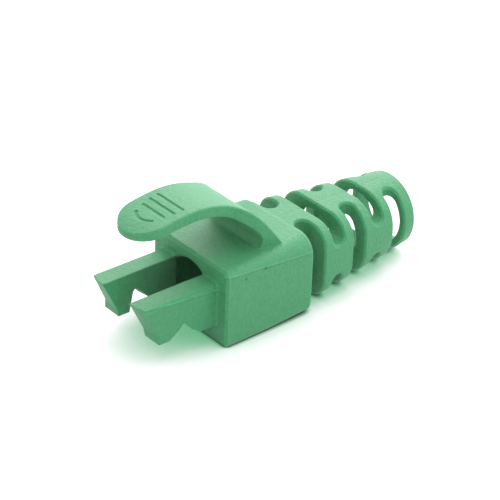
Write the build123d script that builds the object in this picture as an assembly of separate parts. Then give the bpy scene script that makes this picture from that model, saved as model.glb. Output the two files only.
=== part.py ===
# Strain relief boot for an 8P8C modular plug: one soft plastic moulding.
# X across the boot, +Y towards the cable end, +Z up. All sizes in millimetres.
from build123d import *
import os

os.makedirs("parts", exist_ok=True)

# body: the block behind the plug, with its front face at y = 0 while it is drawn
body_width = 12.0                   # same width as the plug it sits behind
body_height = 8.75
body_length = 11.5
# the long corners grow rounder towards the tail: distance from the front, radius
body_top_corner = [(0.0, 0.8), (0.5 * body_length, 1.4), (body_length, 2.0)]
body_bottom_corner = [(0.0, 0.45), (0.5 * body_length, 0.65), (body_length, 1.3)]
body_edge = 0.25                    # broken edge of the front rim
body_rear_edge = 0.35               # broken edge of the rear rim
axis_height = body_height / 2
bore_radius = 3.3                   # cable passage in the body

# tail: rounded square at the body, all but round at the cable end
tail_length = 16.1
tail_half_width = 5.7
tail_half_height = 4.25
tail_corner = 2.15
tail_end_radius = 4.1
tail_end_flat = 0.01                # what is left of the flats at the cable end
tail_bore_end_radius = 3.45         # the passage widens a touch towards the cable end
slot_width = 1.75
slot_pitch = 3.09
slot_count = 5                      # side slots and top and bottom slots take turns
first_slot = 1.1                    # from the body's rear face to the first slot's middle
bridge_half = 1.77                  # half width of the webs that the slots leave
ring_edge = 0.2                     # broken edge round each slot's mouth
end_edge = 0.3                      # broken edge of the cable end's rim

# arms: they reach forward into the plug and hook behind its cable clamp
arm_inset = 1.54                    # from the body's side to the arm's outer face
arm_thickness = 2.29
arm_drop = 1.75                     # from the body's top to the arm's top
arm_reach = 9.25
arm_root_bottom = 2.15
arm_root_fillet = 0.3
arm_nose_depth = 1.3                # the tip's outer part stands back a little
arm_nose_back = 0.4
arm_edge = 0.25                     # broken edge of the arm's top, on the outer side
chin_back = 1.75                    # from the tip back to the chin, and the chin's height
chin_height = 3.5
hook_toe_back = 1.95                # from the tip back to the hook's lowest front corner
hook_heel_back = 3.3
hook_bottom = 2.55
# the notch behind the hook ends this far from the body, and climbs towards the arm's
# inner face: y, z of its crown on either face of the arm
notch_end = 1.95
notch_outer = [(-4.82, 3.4), (-4.35, 3.9), (-4.12, 3.92), (-3.1, 2.79)]
notch_inner = [(-5.5, 4.75), (-5.25, 5.05), (-4.95, 5.0), (-3.3, 3.3)]
notch_run_out = 0.2                 # slope of the notch's last stretch to the arm's root

# latch guard: an arched tab over the plug's latch, rooted on the body's top
tab_half_width = 3.0
tab_flare_start = 1.8
tab_foot_side = [(4.5, 8.75), (4.28, 7.21), (4.06, 5.63)]     # x, y from its rear tip on
tab_tip_centre = -5.34
tab_edge = 0.1                      # broken edge round the upper face
# its side outline: y and height over the body's top, for the upper and the lower face
tab_upper = [(-8.6, 4.97), (-6.9, 5.68), (-5.2, 6.04), (-1.6, 6.42), (1.71, 5.87),
             (4.84, 4.25), (6.83, 2.14), (7.6, 1.11), (8.1, 0.4), (8.65, -0.25)]
tab_lower = [(5.2, -0.25), (6.03, 0.75), (5.36, 2.12), (4.18, 3.13), (2.57, 4.23),
             (-0.3, 5.15), (-3.43, 5.18), (-8.6, 4.45)]
grip_width = 0.35                   # grip lines on the tab's finger end
grip_depth = 0.1
grip_lines = [(-2.6, 2.1), (-3.65, 2.0), (-4.7, 1.75)]   # y, half length
grip_arc_radius = 1.75
grip_arc_centre = -4.6
grip_arc_half = 50                  # degrees to either side of the middle

overlap = 0.3                       # how far joined volumes run into each other
run_out = 1.0                       # how far a cutter runs past what it cuts

arm_outer = body_width / 2 - arm_inset
arm_inner = arm_outer - arm_thickness
arm_top = body_height - arm_drop
arm_tip = -arm_reach
tail_end = body_length + tail_length
shift_y = -(tail_end - arm_reach) / 2    # puts the origin under the middle


def across(y):
    """The plane across the boot at distance y: its x is X, its y is up."""
    return Plane(origin=(0, y, axis_height), x_dir=(1, 0, 0), z_dir=(0, -1, 0))


def spandrel(y, radius, top):
    """What a rounded corner leaves off the body's square one on the +X side."""
    x, z = body_width / 2 - radius, body_height / 2 - radius
    square = Pos(x, z) * Rectangle(radius + run_out, radius + run_out,
                                   align=(Align.MIN, Align.MIN))
    face = square - Pos(x, z) * Circle(radius)
    return across(y) * (face if top else mirror(face, about=Plane.XZ))


def on_face(shape, y):
    """The edges that lie in the plane across the boot at distance y."""
    return [e for e in shape.edges() if abs(e.center().Y - y) < 1e-3]


def body():
    shape = Pos(0, body_length / 2, axis_height) * Box(body_width, body_length, body_height)
    for stations, top in ((body_top_corner, True), (body_bottom_corner, False)):
        cutter = loft([spandrel(y, radius, top) for y, radius in stations], ruled=True)
        shape = shape - cutter - mirror(cutter, about=Plane.YZ)
    shape = chamfer(on_face(shape, 0), body_edge)
    return chamfer(on_face(shape, body_length), body_rear_edge)


def section(y, half_w, half_h, corner):
    """A rectangle with rounded corners across the boot at distance y."""
    face = Rectangle(2 * half_w, 2 * half_h)
    return across(y) * fillet(face.vertices(), corner)


def tail():
    end_corner = tail_end_radius - tail_end_flat
    return loft([
        section(body_length - overlap, tail_half_width, tail_half_height, tail_corner),
        section(tail_end, tail_end_radius, tail_end_radius, end_corner),
    ], ruled=True)


def slot(y, through_sides):
    """The cutters of one pair of slots, with round ends towards the webs."""
    reach = 2 * body_width
    cutters = []
    for side in (1, -1):
        middle = side * (bridge_half + slot_width / 2)
        if through_sides:
            cutters.append(Pos(middle, y, axis_height) * Cylinder(slot_width / 2, reach))
            middle += side * reach / 2
            cutters.append(Pos(middle, y, axis_height) * Box(reach, slot_width, reach))
        else:
            place = Pos(0, y, axis_height + middle)
            cutters.append(place * Rot(0, 90, 0) * Cylinder(slot_width / 2, reach))
            middle += side * reach / 2
            cutters.append(Pos(0, y, axis_height + middle) * Box(reach, slot_width, reach))
    return cutters


def skin_distance(p):
    """How far a point lies from the tail's outer surface, measured across the axis."""
    t = (p.Y - body_length + overlap) / (tail_length + overlap)
    half_w = tail_half_width + t * (tail_end_radius - tail_half_width)
    half_h = tail_half_height + t * (tail_end_radius - tail_half_height)
    corner = tail_corner + t * (tail_end_radius - tail_corner)
    qx = abs(p.X) - half_w + corner
    qz = abs(p.Z - axis_height) - half_h + corner
    out = (max(qx, 0) ** 2 + max(qz, 0) ** 2) ** 0.5
    return out + min(max(qx, qz), 0) - corner


def is_mouth(edge):
    """True for an edge where a slot breaks through the tail's outer surface."""
    p = edge.position_at(0.5)
    lengthwise = edge.geom_type == GeomType.LINE and abs(edge.tangent_at(0.5).Y) > 0.9
    in_tail = body_length < p.Y < tail_end - ring_edge
    return in_tail and not lengthwise and abs(skin_distance(p)) < 0.05


def slotted_tail():
    shape = tail()
    for i in range(slot_count):
        y = body_length + first_slot + i * slot_pitch
        for cutter in slot(y, through_sides=i % 2 == 0):
            shape -= cutter
    shape = chamfer([e for e in shape.edges() if is_mouth(e)], ring_edge)
    return chamfer(on_face(shape, tail_end), end_edge)


def notch_section(x, crown):
    """The notch behind the hook, as it crosses the plane at x."""
    heel = arm_tip + hook_heel_back
    below = hook_bottom - run_out
    outline = Polyline((heel, below), (heel, hook_bottom), *crown,
                       (-notch_end, arm_root_bottom), (-notch_end + notch_run_out, below),
                       close=True)
    return Plane.YZ.offset(x) * make_face(outline)


def arm_section(x, back):
    """The arm's side outline in the plane at x, with its tip set back."""
    heel = arm_tip + hook_heel_back
    outline = Polyline((overlap, arm_top), (arm_tip + back, arm_top),
                       (arm_tip + chin_back + back / 2, chin_height),
                       (arm_tip + hook_toe_back, hook_bottom), (heel, hook_bottom),
                       (heel, arm_root_bottom), (overlap, arm_root_bottom), close=True)
    return Plane.YZ.offset(x) * make_face(outline)


def arm():
    """The arm on the +X side; its mirror image makes the other one."""
    nose = arm_outer - arm_nose_depth
    shape = extrude(arm_section(arm_inner, 0), nose - arm_inner)
    shape += loft([arm_section(nose, 0), arm_section(arm_outer, arm_nose_back)], ruled=True)
    shape -= loft([notch_section(arm_inner, notch_inner), notch_section(arm_outer, notch_outer)],
                  ruled=True)
    top_outer = [e for e in shape.edges() if abs(e.center().Z - arm_top) < 1e-3
                 and abs(e.center().X - arm_outer) < 1e-3]
    return chamfer(top_outer, arm_edge)


def tab():
    """The latch guard: an arched band, trimmed to its outline from above."""
    upper = Spline(*[(y, body_height + z) for y, z in tab_upper])
    lower = Spline(*[(y, body_height + z) for y, z in tab_lower])
    side = make_face([upper, Line(upper @ 1, lower @ 0), lower, Line(lower @ 1, upper @ 0)])
    band = extrude(Plane.YZ.offset(-body_width / 2) * side, body_width)
    w, (f, rear) = tab_half_width, tab_foot_side[0]
    flare = Spline(*tab_foot_side, (w, tab_flare_start), tangents=[(-0.15, -1), (0, -1)])
    half = [Line((0, rear + run_out), (f, rear + run_out)), Line((f, rear + run_out), (f, rear)),
            flare, Line((w, tab_flare_start), (w, tab_tip_centre)),
            RadiusArc((w, tab_tip_centre), (0, tab_tip_centre - w), w)]
    plan = make_face(half + [mirror(e, about=Plane.YZ) for e in half])
    return band & extrude(plan, 3 * body_height)


def body_with_arms():
    side = arm()
    shape = body() + side + mirror(side, about=Plane.YZ)
    roots = [e for e in on_face(shape, 0)
             if arm_root_bottom / 2 < e.center().Z < (arm_top + body_height) / 2
             and arm_inner + arm_edge < abs(e.center().X) < arm_outer + arm_edge]
    return fillet(roots, arm_root_fillet)


def grip_lines_cutter():
    """Shallow grooves that follow the latch guard's upper face: bars and one arc."""
    upper = Spline(*[(y, body_height + z) for y, z in tab_upper])
    floor, sky = Pos(0, -grip_depth) * upper, Pos(0, run_out) * upper
    side = make_face([floor, Line(floor @ 1, sky @ 1), sky, Line(sky @ 0, floor @ 0)])
    skin = extrude(Plane.YZ.offset(-body_width / 2) * side, body_width)
    arc = CenterArc((0, grip_arc_centre), grip_arc_radius,
                    270 - grip_arc_half, 2 * grip_arc_half)
    marks = [Pos(0, y) * Rectangle(2 * half, grip_width) for y, half in grip_lines]
    marks.append(trace(arc, grip_width))
    return [skin & extrude(mark, 3 * body_height) for mark in marks]


def tab_with_grip():
    shape = tab()
    upper_face = max(shape.faces(), key=lambda face: face.center().Z)
    shape = chamfer([e for e in upper_face.edges() if e.center().Z > body_height], tab_edge)
    for cutter in grip_lines_cutter():
        shape -= cutter
    return shape


def passage():
    """The cable passage's cutter: straight in the body, a slight cone in the tail."""
    half = make_face(Polyline((0, 0), (bore_radius, 0), (bore_radius, body_length),
                              (tail_bore_end_radius, tail_end),
                              (tail_bore_end_radius, tail_end + run_out),
                              (0, tail_end + run_out), close=True))
    return Pos(0, 0, axis_height) * revolve(half, axis=Axis.Y)


def boot():
    shape = body_with_arms() + slotted_tail() + tab_with_grip() - passage()
    return Pos(0, shift_y, 0) * shape


part = boot()
print("solids", len(part.solids()), "volume", round(part.volume, 1), part.bounding_box())
export_step(part.solid(), "parts/boot.step")
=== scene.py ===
from math import radians

import bmesh
import bpy
from mathutils import Matrix, Vector

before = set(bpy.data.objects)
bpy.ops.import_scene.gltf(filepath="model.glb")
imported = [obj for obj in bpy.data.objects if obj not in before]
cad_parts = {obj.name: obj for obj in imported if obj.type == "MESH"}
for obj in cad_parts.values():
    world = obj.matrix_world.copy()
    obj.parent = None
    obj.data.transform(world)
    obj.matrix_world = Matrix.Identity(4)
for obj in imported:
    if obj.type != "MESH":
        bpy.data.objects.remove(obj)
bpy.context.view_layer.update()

# The camera stands where the photographer stood, off the boot's front corner on its +X side
# and well above it. It has a long lens, and is turned a little on its axis.
MM = 0.001
CAMERA_AIM = Vector((-0.161, -1.144, 5.772)) * MM
CAMERA_DISTANCE = 222.9 * MM
CAMERA_AZIMUTH = radians(49.252)
CAMERA_ELEVATION = radians(30.863)
CAMERA_ROLL = radians(2.007)
LENS = 156.07

camera = bpy.data.objects.new("camera", bpy.data.cameras.new("camera"))
camera.data.lens = LENS
camera.data.sensor_width = 36
camera.data.clip_start = 5 * MM
turn = (Matrix.Rotation(CAMERA_AZIMUTH, 4, "Z")
        @ Matrix.Rotation(radians(90) - CAMERA_ELEVATION, 4, "X")
        @ Matrix.Rotation(CAMERA_ROLL, 4, "Z"))
camera.matrix_world = (Matrix.Translation(CAMERA_AIM) @ turn
                       @ Matrix.Translation((0, 0, CAMERA_DISTANCE)))
bpy.context.scene.collection.objects.link(camera)
bpy.context.scene.camera = camera

# The boot is one moulding of soft green plastic. The mould's spark-eroded steel gives it a
# fine matt skin, and it keeps a thin parting line where the mould's halves meet.
GREEN = (0.060, 0.368, 0.152, 1)
# painted light for the hollows
HOLLOW_LIGHT_GREEN = (0.18, 0.47, 0.28, 1)
# painted shade for the passage
PASSAGE_SHADE_GREEN = (0.075, 0.20, 0.105, 1)

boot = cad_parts["boot"]
plastic = bpy.data.materials.new("boot_plastic")
plastic.use_nodes = True
tree = plastic.node_tree
shader = tree.nodes["Principled BSDF"]
shader.inputs["Specular IOR Level"].default_value = 0.6
shader.inputs["Sheen Weight"].default_value = 0.1
shader.inputs["Sheen Roughness"].default_value = 0.4


def put(value, socket):
    """Sets the socket to this value, or links it to this output."""
    if isinstance(value, bpy.types.NodeSocket):
        tree.links.new(value, socket)
    else:
        socket.default_value = value


def add(kind, operation=None, **sockets):
    """A node of this kind, with its named sockets set to values or linked to outputs."""
    node = tree.nodes.new(kind)
    if operation:
        node.operation = operation
    for name, value in sockets.items():
        put(value, node.inputs[name.replace("_", " ")])
    return node


def calc(operation, *values):
    """What a math node makes of these values or outputs."""
    node = add("ShaderNodeMath", operation)
    for value, socket in zip(values, node.inputs):
        put(value, socket)
    return node.outputs[0]


def spread(value, start, end, first=0.0, last=1.0):
    """How far the value is on its way from start to end, given from first to last."""
    return add("ShaderNodeMapRange", Value=value, From_Min=start, From_Max=end,
               To_Min=first, To_Max=last).outputs["Result"]


def openness(reach):
    """How open a spot is to what lies within this reach: 0 in a corner, 1 in the open."""
    node = add("ShaderNodeAmbientOcclusion", Distance=reach)
    node.samples = 8
    return node.outputs["AO"]


def blend(factor, a, b):
    """The colour between these two, each a colour or an output."""
    node = tree.nodes.new("ShaderNodeMix")
    node.data_type = "RGBA"
    put(factor, node.inputs["Factor"])
    put(a, node.inputs[6])
    put(b, node.inputs[7])
    return node.outputs[2]


# places on the boot, and all lengths that are set against them, are in millimetres
place = add("ShaderNodeTexCoord").outputs["Object"]
in_mm = add("ShaderNodeMapping", Vector=place, Scale=(1000, 1000, 1000)).outputs["Vector"]
x, y, z = add("ShaderNodeSeparateXYZ", Vector=in_mm).outputs

BODY_FRONT, BODY_REAR = -9.175, 2.325
along = calc("SUBTRACT", y, BODY_FRONT)
on_arm = calc("LESS_THAN", along, 0)
on_tail = calc("GREATER_THAN", y, BODY_REAR)
off_tail = calc("SUBTRACT", 1, on_tail)

# the parting line sinks towards the tail along the body's sides, and again along the arms'
BODY_LINE, BODY_LINE_SLOPE = 8.27, 0.088
ARM_LINE, ARM_LINE_SLOPE = 6.24, 0.093
BODY_SIDE, ARM_SIDE = 5.2, 4.2
body_height = calc("SUBTRACT", BODY_LINE, calc("MULTIPLY", BODY_LINE_SLOPE, along))
arm_height = calc("SUBTRACT", ARM_LINE, calc("MULTIPLY", ARM_LINE_SLOPE, along))
line_height = add("ShaderNodeMix", Factor=on_arm, A=body_height, B=arm_height).outputs["Result"]
from_line = calc("SUBTRACT", z, line_height)
side_from = calc("SUBTRACT", BODY_SIDE, calc("MULTIPLY", BODY_SIDE - ARM_SIDE, on_arm))
side_line = calc("MULTIPLY", calc("GREATER_THAN", calc("ABSOLUTE", x), side_from), off_tail)

# on the tail it runs along the middle of the top
TAIL_TOP = 7
FACING_UP = 0.8
normal = add("ShaderNodeNewGeometry").outputs["Normal"]
upright = add("ShaderNodeSeparateXYZ", Vector=normal).outputs["Z"]
on_top = calc("MULTIPLY", calc("GREATER_THAN", z, TAIL_TOP),
              calc("GREATER_THAN", upright, FACING_UP))
top_line = calc("MULTIPLY", on_top, on_tail)

LINE_WIDTH = 0.13
SHADE_DROP = 0.16


def ridge(distance, where):
    """1 on the line where the distance is 0, down to 0 a line's width away from it."""
    return calc("MULTIPLY", where, spread(calc("ABSOLUTE", distance), 0, LINE_WIDTH, 1, 0))


# it stands up on the sides, with a thin dip under it, and is a shallow groove on the tail; its
# top is painted lighter as painted highlight, and the dip and the groove darker as painted
# shade
seam = ridge(from_line, side_line)
groove_and_shade = calc("MAXIMUM", ridge(calc("ADD", from_line, SHADE_DROP), side_line),
              ridge(x, top_line))

# the matt skin has a fine grain, and all edges are a little round
GRAIN_SCALE, GRAIN_HEIGHT = 2.6, 0.14
LINE_HEIGHT = 0.03
SOFT_EDGE = 0.22 * MM
grain = add("ShaderNodeTexNoise", Vector=in_mm, Scale=GRAIN_SCALE, Detail=5.0,
            Roughness=0.75).outputs["Fac"]
relief = calc("ADD", calc("MULTIPLY", grain, GRAIN_HEIGHT),
              calc("MULTIPLY", calc("SUBTRACT", seam, groove_and_shade), LINE_HEIGHT))
soft_edges = add("ShaderNodeBevel", Radius=SOFT_EDGE).outputs["Normal"]
bump = add("ShaderNodeBump", Height=relief, Strength=1.0, Distance=MM, Normal=soft_edges)
put(bump.outputs["Normal"], shader.inputs["Normal"])

# its tone is uneven at random, with a painted highlight on the edges and along the line, and
# painted shade under the line and in the tail's groove
TONE = 0.57
CLOUD_SCALE = 0.6
CLOUD_TONE, GRAIN_TONE = 0.12, 0.75
EDGE_HIGHLIGHT_START, EDGE_HIGHLIGHT_FULL, EDGE_HIGHLIGHT_TONE = 0.995, 0.93, 0.38
LINE_HIGHLIGHT_TONE, GROOVE_SHADE_TONE = 0.3, 0.16
cloud = add("ShaderNodeTexNoise", Vector=in_mm, Scale=CLOUD_SCALE, Detail=2.0).outputs["Fac"]
bend = add("ShaderNodeVectorMath", "DOT_PRODUCT")
put(soft_edges, bend.inputs[0])
put(normal, bend.inputs[1])
painted_edge_highlight = spread(bend.outputs["Value"], EDGE_HIGHLIGHT_START, EDGE_HIGHLIGHT_FULL)
tone = calc("ADD", TONE, calc("ADD", calc("MULTIPLY", cloud, CLOUD_TONE),
                              calc("MULTIPLY", grain, GRAIN_TONE)))
tone = calc("ADD", tone, calc("MULTIPLY", painted_edge_highlight, EDGE_HIGHLIGHT_TONE))
# painted highlight on the line, painted shade under it and in the groove
tone = calc("ADD", tone, calc("SUBTRACT", calc("MULTIPLY", seam, LINE_HIGHLIGHT_TONE),
                              calc("MULTIPLY", groove_and_shade, GROOVE_SHADE_TONE)))

# two small pits lie under the line, each at its y and z, and twice as wide as the line; they
# are only painted darker, as painted shade
PITS = ((-6.79, 7.38), (-4.22, 7.72))
PIT_SHRINK = 0.5
PIT_SHADE_TONE = 0.8


def distance_from(a, a_middle, b, b_middle):
    """How far a spot lies from this middle, in the plane of the two coordinates."""
    return calc("SQRT", calc("ADD", calc("POWER", calc("SUBTRACT", a, a_middle), 2),
                             calc("POWER", calc("SUBTRACT", b, b_middle), 2)))


for pit_y, pit_z in PITS:
    pit_shade = ridge(calc("MULTIPLY", distance_from(y, pit_y, z, pit_z), PIT_SHRINK), side_line)
    tone = calc("SUBTRACT", tone, calc("MULTIPLY", pit_shade, PIT_SHADE_TONE))

# painted light: the hollows are painted lighter and greyer, standing in for the milky light
# seen in them
HOLLOW_REACH = 6 * MM
HOLLOW_LIGHT_START, HOLLOW_LIGHT_FULL = 0.6, 0.1
painted_hollow_light = spread(openness(HOLLOW_REACH), HOLLOW_LIGHT_START, HOLLOW_LIGHT_FULL)

# painted shade: the passage and the arms' inner faces are painted darker towards the body, a
# little less inside it, and their skin is also duller
AXIS_HEIGHT, PASSAGE_RADIUS = 4.375, 3.5
INWARD_START, INWARD_END = -17, -8
BODY_PASSAGE_LESS = 0.35
inside = calc("MULTIPLY", off_tail,
              calc("LESS_THAN", distance_from(x, 0, z, AXIS_HEIGHT), PASSAGE_RADIUS))
inward = spread(y, INWARD_START, INWARD_END)
in_body = calc("SUBTRACT", 1, on_arm)
passage_shade_and_dullness = calc("MULTIPLY", inside,
            calc("SUBTRACT", inward, calc("MULTIPLY", in_body, BODY_PASSAGE_LESS)))

ROUGHNESS = 0.40
GRAIN_ROUGHNESS, PASSAGE_ROUGHNESS = 0.10, 0.45
# the hollows get painted light, the passage painted shade
colour = blend(passage_shade_and_dullness, blend(painted_hollow_light, GREEN, HOLLOW_LIGHT_GREEN), PASSAGE_SHADE_GREEN)
skin = add("ShaderNodeVectorMath", "SCALE", Vector=colour, Scale=tone).outputs[0]
dullness = calc("ADD", ROUGHNESS, calc("ADD", calc("MULTIPLY", grain, GRAIN_ROUGHNESS),
                                       calc("MULTIPLY", passage_shade_and_dullness, PASSAGE_ROUGHNESS)))
put(skin, shader.inputs["Base Color"])
put(dullness, shader.inputs["Roughness"])
boot.data.materials.clear()
boot.data.materials.append(plastic)

# The floor is a plain white table top of matt board. Only the ground close to the boot is less
# than white, and that shadow is partly painted: the board is brightened in the open and
# darkened near the boot, and a painted green glow tints its shadow.
FLOOR_HALF = 3.0
FLOOR_WHITE = (0.9, 0.9, 0.9, 1)
LOST_IN_SHADOW = (0.92, 0.60, 0.82)
SHADOW_REACH, SHADOW_DEEP, SHADOW_GONE = 20 * MM, 0.2, 0.75
DEEP_GAIN, OPEN_GAIN = 0.4, 1.5
CONTACT_REACH, CONTACT_DEEP, CONTACT_GONE = 0.8 * MM, 0.2, 0.7
CONTACT_BRIGHTNESS = 0.1
floor_mesh = bmesh.new()
bmesh.ops.create_grid(floor_mesh, x_segments=1, y_segments=1, size=FLOOR_HALF)
floor = bpy.data.objects.new("floor", bpy.data.meshes.new("floor"))
floor_mesh.to_mesh(floor.data)
floor_mesh.free()
bpy.context.scene.collection.objects.link(floor)

table_top = bpy.data.materials.new("table_top")
table_top.use_nodes = True
tree = table_top.node_tree
tree.nodes.clear()
# painted shadow: part of its white is a painted green glow, which the shadow doesn't take, but
# the painted dark line of contact does
painted_shadow_gain = spread(openness(SHADOW_REACH), SHADOW_DEEP, SHADOW_GONE, DEEP_GAIN, OPEN_GAIN)
painted_contact_shade = spread(openness(CONTACT_REACH), CONTACT_DEEP, CONTACT_GONE, CONTACT_BRIGHTNESS, 1)
painted_shadow_tint = add("ShaderNodeVectorMath", "SCALE", Vector=LOST_IN_SHADOW,
           Scale=calc("MULTIPLY", painted_shadow_gain, painted_contact_shade)).outputs[0]
glow = add("ShaderNodeEmission", Color=[1 - c for c in LOST_IN_SHADOW] + [1], Strength=painted_contact_shade)
seen = add("ShaderNodeAddShader")
put(add("ShaderNodeBsdfDiffuse", Color=painted_shadow_tint).outputs[0], seen.inputs[0])
put(glow.outputs[0], seen.inputs[1])
path = add("ShaderNodeLightPath").outputs
looked_at = calc("MAXIMUM", path["Is Camera Ray"], path["Is Transmission Ray"])
board = add("ShaderNodeMixShader", Fac=looked_at)
put(add("ShaderNodeBsdfDiffuse", Color=FLOOR_WHITE).outputs[0], board.inputs[1])
put(seen.outputs[0], board.inputs[2])
put(board.outputs[0], add("ShaderNodeOutputMaterial").inputs["Surface"])
floor.data.materials.append(table_top)

# The light is that of a photographer's tent: white from all round, with a bright backdrop
# that the upper faces mirror at a low angle, and soft boxes above and on the right.
WORLD_LIGHT = 0.61
world = bpy.data.worlds.new("tent")
bpy.context.scene.world = world
world.use_nodes = True
tree = world.node_tree
around = tree.nodes["Background"]
around.inputs["Color"].default_value = (1, 1, 1, 1)
# seen or mirrored, the tent is full white
path = add("ShaderNodeLightPath").outputs
looked_at = calc("MAXIMUM", path["Is Camera Ray"],
                 calc("MAXIMUM", path["Is Glossy Ray"], path["Is Transmission Ray"]))
put(calc("MAXIMUM", WORLD_LIGHT, looked_at), around.inputs["Strength"])


def soft_box(name, place, size, power):
    """A white panel that faces the boot. Its place is how far right, beyond and above it is."""
    lamp = bpy.data.lights.new(name, "AREA")
    lamp.shape = "RECTANGLE"
    lamp.size, lamp.size_y = size
    lamp.energy = power
    panel = bpy.data.objects.new(name, lamp)
    where = Matrix.Rotation(CAMERA_AZIMUTH, 4, "Z") @ Vector(place)
    facing = where.to_track_quat("Z", "Y").to_matrix().to_4x4()
    panel.matrix_world = Matrix.Translation(where) @ facing
    bpy.context.scene.collection.objects.link(panel)


soft_box("backdrop", place=(0.1, 0.6, 0.33), size=(1.2, 0.7), power=5.6)
soft_box("right_box", place=(0.6, 0, 0.35), size=(0.8, 0.6), power=1.35)
soft_box("top_box", place=(0, 0, 0.6), size=(0.6, 0.6), power=0.9)

bpy.context.scene.view_settings.view_transform = "Standard"
